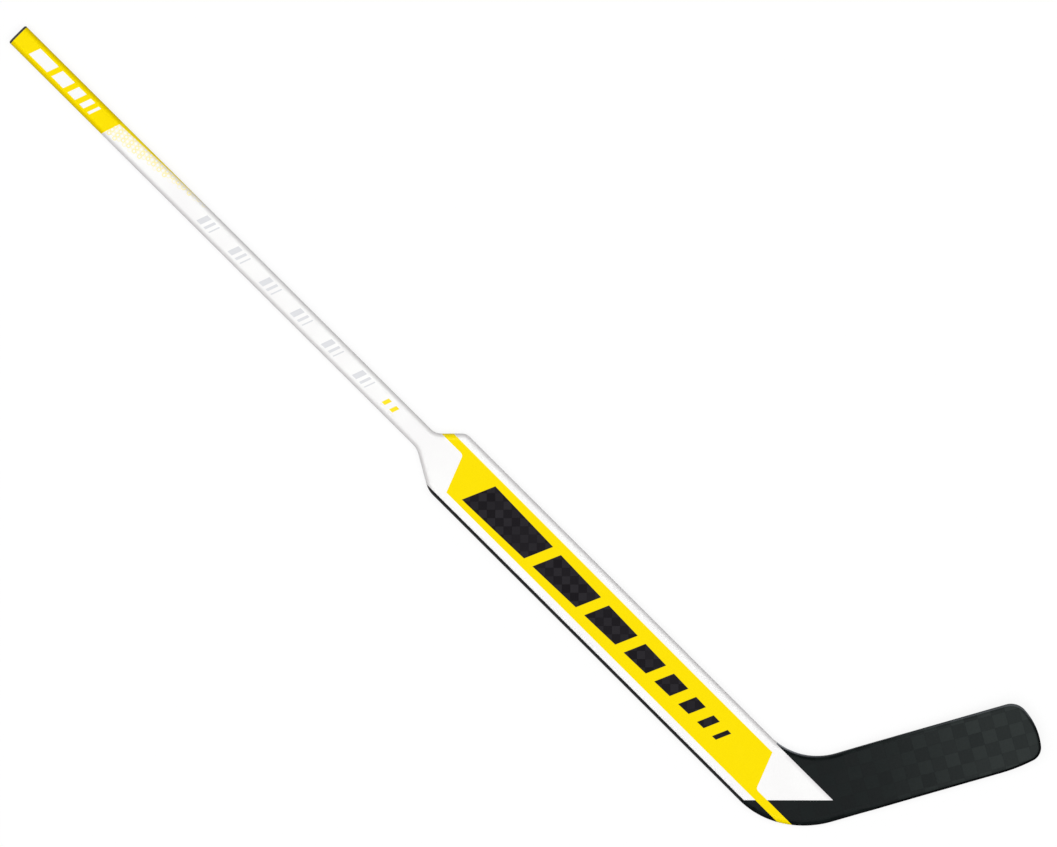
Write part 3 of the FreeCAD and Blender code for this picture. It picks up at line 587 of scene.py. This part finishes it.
def pale_rim_and_highlight(surface, along, top_side):
    """A paler rim along the blade's top: at the throat the paddle's white paint running round the edge,
    partly a painted highlight, and towards the toe a faint painted highlight on the top side.
    """
    TURN_ANGLES = (38, 72)
    THROAT, THROAT_LEAST = (-63 * MM, 9 * MM), 0.1
    TOE, TOE_MOST = (72 * MM, 252 * MM), 0.12
    return surface.either(
        surface.both(
            surface.lean(*TURN_ANGLES), top_side, surface.ramp(along, *THROAT, 1.0, THROAT_LEAST)
        ),
        surface.both(top_side, surface.ramp(along, *TOE, 0.0, TOE_MOST)),
    )


def blade_carbon(name, gloss, *places):
    """Spread-tow carbon of the blade, a little lighter towards the toe, with black painted shade on its
    lower and toe rims and a paler top rim.
    """
    CELL, CELL_TURN = (18.5 * MM, 17.5 * MM), math.radians(60)
    CELL_ORIGIN = (675.5 * MM, 35.75 * MM, 0.0)
    LIGHTER_FROM = -18 * MM
    TOP_FACING = (0.05, 0.25)
    FIBRE_ROUGHNESS, OVER_ROUGHNESS, RIM_ROUGHNESS = (0.34, 0.46), 0.1, 0.4
    FIBRE_DEPTH = 0.02 * MM
    surface = Surface(name, Specular_IOR_Level=gloss)
    weave = Weave(surface, CELL, CELL_TURN, CELL_ORIGIN)
    along = surface.reach(TOE_WARD, BLADE_ORIGIN)
    toe_share = surface.ramp(along, LIGHTER_FROM, BLADE_LENGTH)
    dark = surface.mix(toe_share, HEEL_DARK, TOE_DARK)
    light = surface.mix(toe_share, HEEL_LIGHT, TOE_LIGHT)
    colour = surface.mix(weave.lightness(), dark, light)

    # The rims, black painted shade below and a paler top with painted highlight, and the end of the heel's
    # stripe over the edge
    top_side = surface.ramp(surface.facing(TOP_WARD), *TOP_FACING)
    black = painted_shade_rim(surface, along, top_side)
    # Black painted shade on the lower and toe edges
    colour = surface.mix(black, colour, RIM_SHADE_BLACK)
    # The paler top rim: white paint at the throat with painted highlight, and painted highlight towards
    # the toe
    colour = surface.mix(pale_rim_and_highlight(surface, along, top_side), colour, PALE_PAINT_AND_HIGHLIGHT)
    stripe = surface.within(surface.y, stripe_low.y, stripe_high.y, STRIPE_SOFT)
    surface.colour(surface.mix(stripe, colour, YELLOW))

    streaks = surface.ramp(weave.fibre, *NOISE_RANGE, *FIBRE_ROUGHNESS)
    laid = surface.math("MULTIPLY_ADD", weave.over, OVER_ROUGHNESS, streaks)
    # The painted-shade rim is also made duller
    surface.roughness(surface.math("MULTIPLY_ADD", black, RIM_ROUGHNESS, laid))
    surface.relief(weave.fibre, FIBRE_DEPTH)
    surface.dress(*places)


def plug_rubber():
    """Moulded rubber of the plug."""
    GRAIN_SIZE, GRAIN_DETAIL, GRAIN_DEPTH = 0.8 * MM, 4.0, 0.04 * MM
    ROUGHNESS = (0.6, 0.78)
    surface = Surface("plug_black_rubber", Specular_IOR_Level=RUBBER_GLOSS)
    grain = surface.noise(GRAIN_SIZE, GRAIN_DETAIL)
    surface.colour(surface.mix(grain, RUBBER_DARK, RUBBER_LIGHT))
    surface.roughness(surface.ramp(grain, *NOISE_RANGE, *ROUGHNESS))
    surface.relief(grain, GRAIN_DEPTH)
    surface.dress("end_plug")


def inner_laminate():
    """Bare laminate of the parts inside: a tighter weave under clear resin."""
    CELL = (4 * MM, 4 * MM)
    ROUGHNESS = (0.3, 0.45)
    FIBRE_DEPTH = 0.03 * MM
    surface = Surface("inner_bare_laminate", Specular_IOR_Level=LAMINATE_GLOSS)
    weave = Weave(surface, CELL)
    surface.colour(surface.mix(weave.lightness(), HEEL_DARK, TOE_LIGHT))
    surface.roughness(surface.ramp(weave.fibre, *NOISE_RANGE, *ROUGHNESS))
    surface.relief(weave.fibre, FIBRE_DEPTH)
    surface.dress("paddle_spar", "blade_tenon", "blade_bridge")


def core_foam(name, cell, dark, light, *places):
    """Foam and the dense core of the heel: cut cells of one size."""
    WALL_RANGE = (0.2, 0.7)
    ROUGHNESS = (0.85, 0.98)
    DEPTH_SHARE = 0.3
    surface = Surface(name, Specular_IOR_Level=FOAM_GLOSS)
    inputs = {"Vector": surface.place, "Scale": 1 / cell}
    cells = surface.node("ShaderNodeTexVoronoi", inputs, "Distance")
    wall = surface.ramp(cells, *WALL_RANGE)
    surface.colour(surface.mix(wall, dark, light))
    surface.roughness(surface.ramp(cells, 0.0, 1.0, *ROUGHNESS))
    surface.relief(wall, DEPTH_SHARE * cell)
    surface.dress(*places)


def dress_stick():
    """Gives every piece of the stick its finish."""
    FOAM_CELL, DENSE_CELL = 0.9 * MM, 0.4 * MM
    shaft_paint()
    paddle_paint()
    rail_paint()
    butt_film()
    panel_film()
    stripe_film()
    blade_carbon("blade_carbon_weave", SKIN_GLOSS, "blade_front_skin", "blade_back_skin")
    blade_carbon("edge_carbon_wrap", WRAP_GLOSS, "blade_edge_band")
    plug_rubber()
    inner_laminate()
    core_foam(
        "core_pale_foam", FOAM_CELL, FOAM_DARK, FOAM_LIGHT,
        "paddle_core_upper", "paddle_core_lower", "blade_core_upper", "blade_core_lower",
    )
    core_foam("core_dense_foam", DENSE_CELL, DENSE_DARK, DENSE_LIGHT, "heel_block")


def seen_rays(tree):
    """Rays that see the background as plain white: those of the camera, and of mirrors and glass."""
    path = tree.nodes.new("ShaderNodeLightPath")
    result = path.outputs["Is Camera Ray"]
    for name in ("Is Glossy Ray", "Is Transmission Ray"):
        step = tree.nodes.new("ShaderNodeMath")
        step.operation = "MAXIMUM"
        tree.links.new(result, step.inputs[0])
        tree.links.new(path.outputs[name], step.inputs[1])
        result = step.outputs[0]
    return result


def make_floor():
    """The floor: pale and matt, lifted to white where it is seen, with the stick's shadow on it."""
    HALF, DROP = 40.0, 0.5 * MM
    GLOW_SHARE, GLOW_LEVEL = 0.8, 1.03
    ROUGHNESS = 0.9
    mesh = bpy.data.meshes.new("floor")
    corners = [(x * HALF, y * HALF, -DROP) for x, y in ((-1, -1), (1, -1), (1, 1), (-1, 1))]
    mesh.from_pydata(corners, [], [(0, 1, 2, 3)])
    floor = bpy.data.objects.new("floor", mesh)
    bpy.context.scene.collection.objects.link(floor)
    surface = Surface("floor_pale_matt", Roughness=ROUGHNESS, Specular_IOR_Level=0.0)
    seen = seen_rays(surface.tree)
    surface.colour(surface.mix(seen, FLOOR_BOUNCE, FLOOR_SEEN))
    glow = surface.node("ShaderNodeEmission", {"Strength": GLOW_LEVEL})
    share = surface.math("MULTIPLY", seen, GLOW_SHARE)
    lit = surface.node("ShaderNodeMixShader", {0: share, 1: surface.shader.outputs[0], 2: glow})
    surface.feed(surface.tree.nodes["Material Output"].inputs["Surface"], lit)
    mesh.materials.append(surface.material)


def make_world():
    """The world: an even dim light, white where it is seen."""
    world = bpy.data.worlds.new("studio")
    bpy.context.scene.world = world
    world.use_nodes = True
    tree = world.node_tree
    level = tree.nodes.new("ShaderNodeMapRange")
    level.inputs["To Min"].default_value = WORLD_SHARE
    tree.links.new(seen_rays(tree), level.inputs["Value"])
    background = tree.nodes["Background"]
    background.inputs["Color"].default_value = (1.0, 1.0, 1.0, 1.0)
    tree.links.new(level.outputs[0], background.inputs["Strength"])


def make_lamps():
    """Soft lamps on the photograph's four sides, of which the upper one stands steeper and is smaller."""
    lamps = {
        "key_from_above": (180, KEY_TILT, KEY_SPREAD),
        "fill_from_left": (270, FILL_TILT, FILL_SPREAD),
        "fill_from_right": (90, FILL_TILT, FILL_SPREAD),
        "fill_from_below": (0, FILL_TILT, FILL_SPREAD),
    }
    for name, (side, tilt, spread) in lamps.items():
        lamp = bpy.data.lights.new(name, "SUN")
        lamp.energy = LAMP_SHARE * math.pi / math.cos(tilt)
        lamp.angle = spread
        holder = bpy.data.objects.new(name, lamp)
        holder.rotation_euler = (tilt, 0.0, PHOTO_TURN + math.radians(side))
        bpy.context.scene.collection.objects.link(holder)


def make_camera():
    """The camera looks straight at the front face through a long lens."""
    data = bpy.data.cameras.new("photo_camera")
    data.sensor_width = SENSOR
    data.lens = SENSOR * CAMERA_DISTANCE / (PHOTO_WIDTH * PHOTO_SCALE)
    data.clip_end = CAMERA_SIGHT
    camera = bpy.data.objects.new("photo_camera", data)
    camera.location = (*PHOTO_MIDDLE, FRONT + CAMERA_DISTANCE)
    camera.rotation_euler = (0.0, 0.0, PHOTO_TURN)
    bpy.context.scene.collection.objects.link(camera)
    bpy.context.scene.camera = camera


dress_stick()
make_floor()
make_world()
make_lamps()
make_camera()
bpy.context.scene.view_settings.view_transform = "Standard"
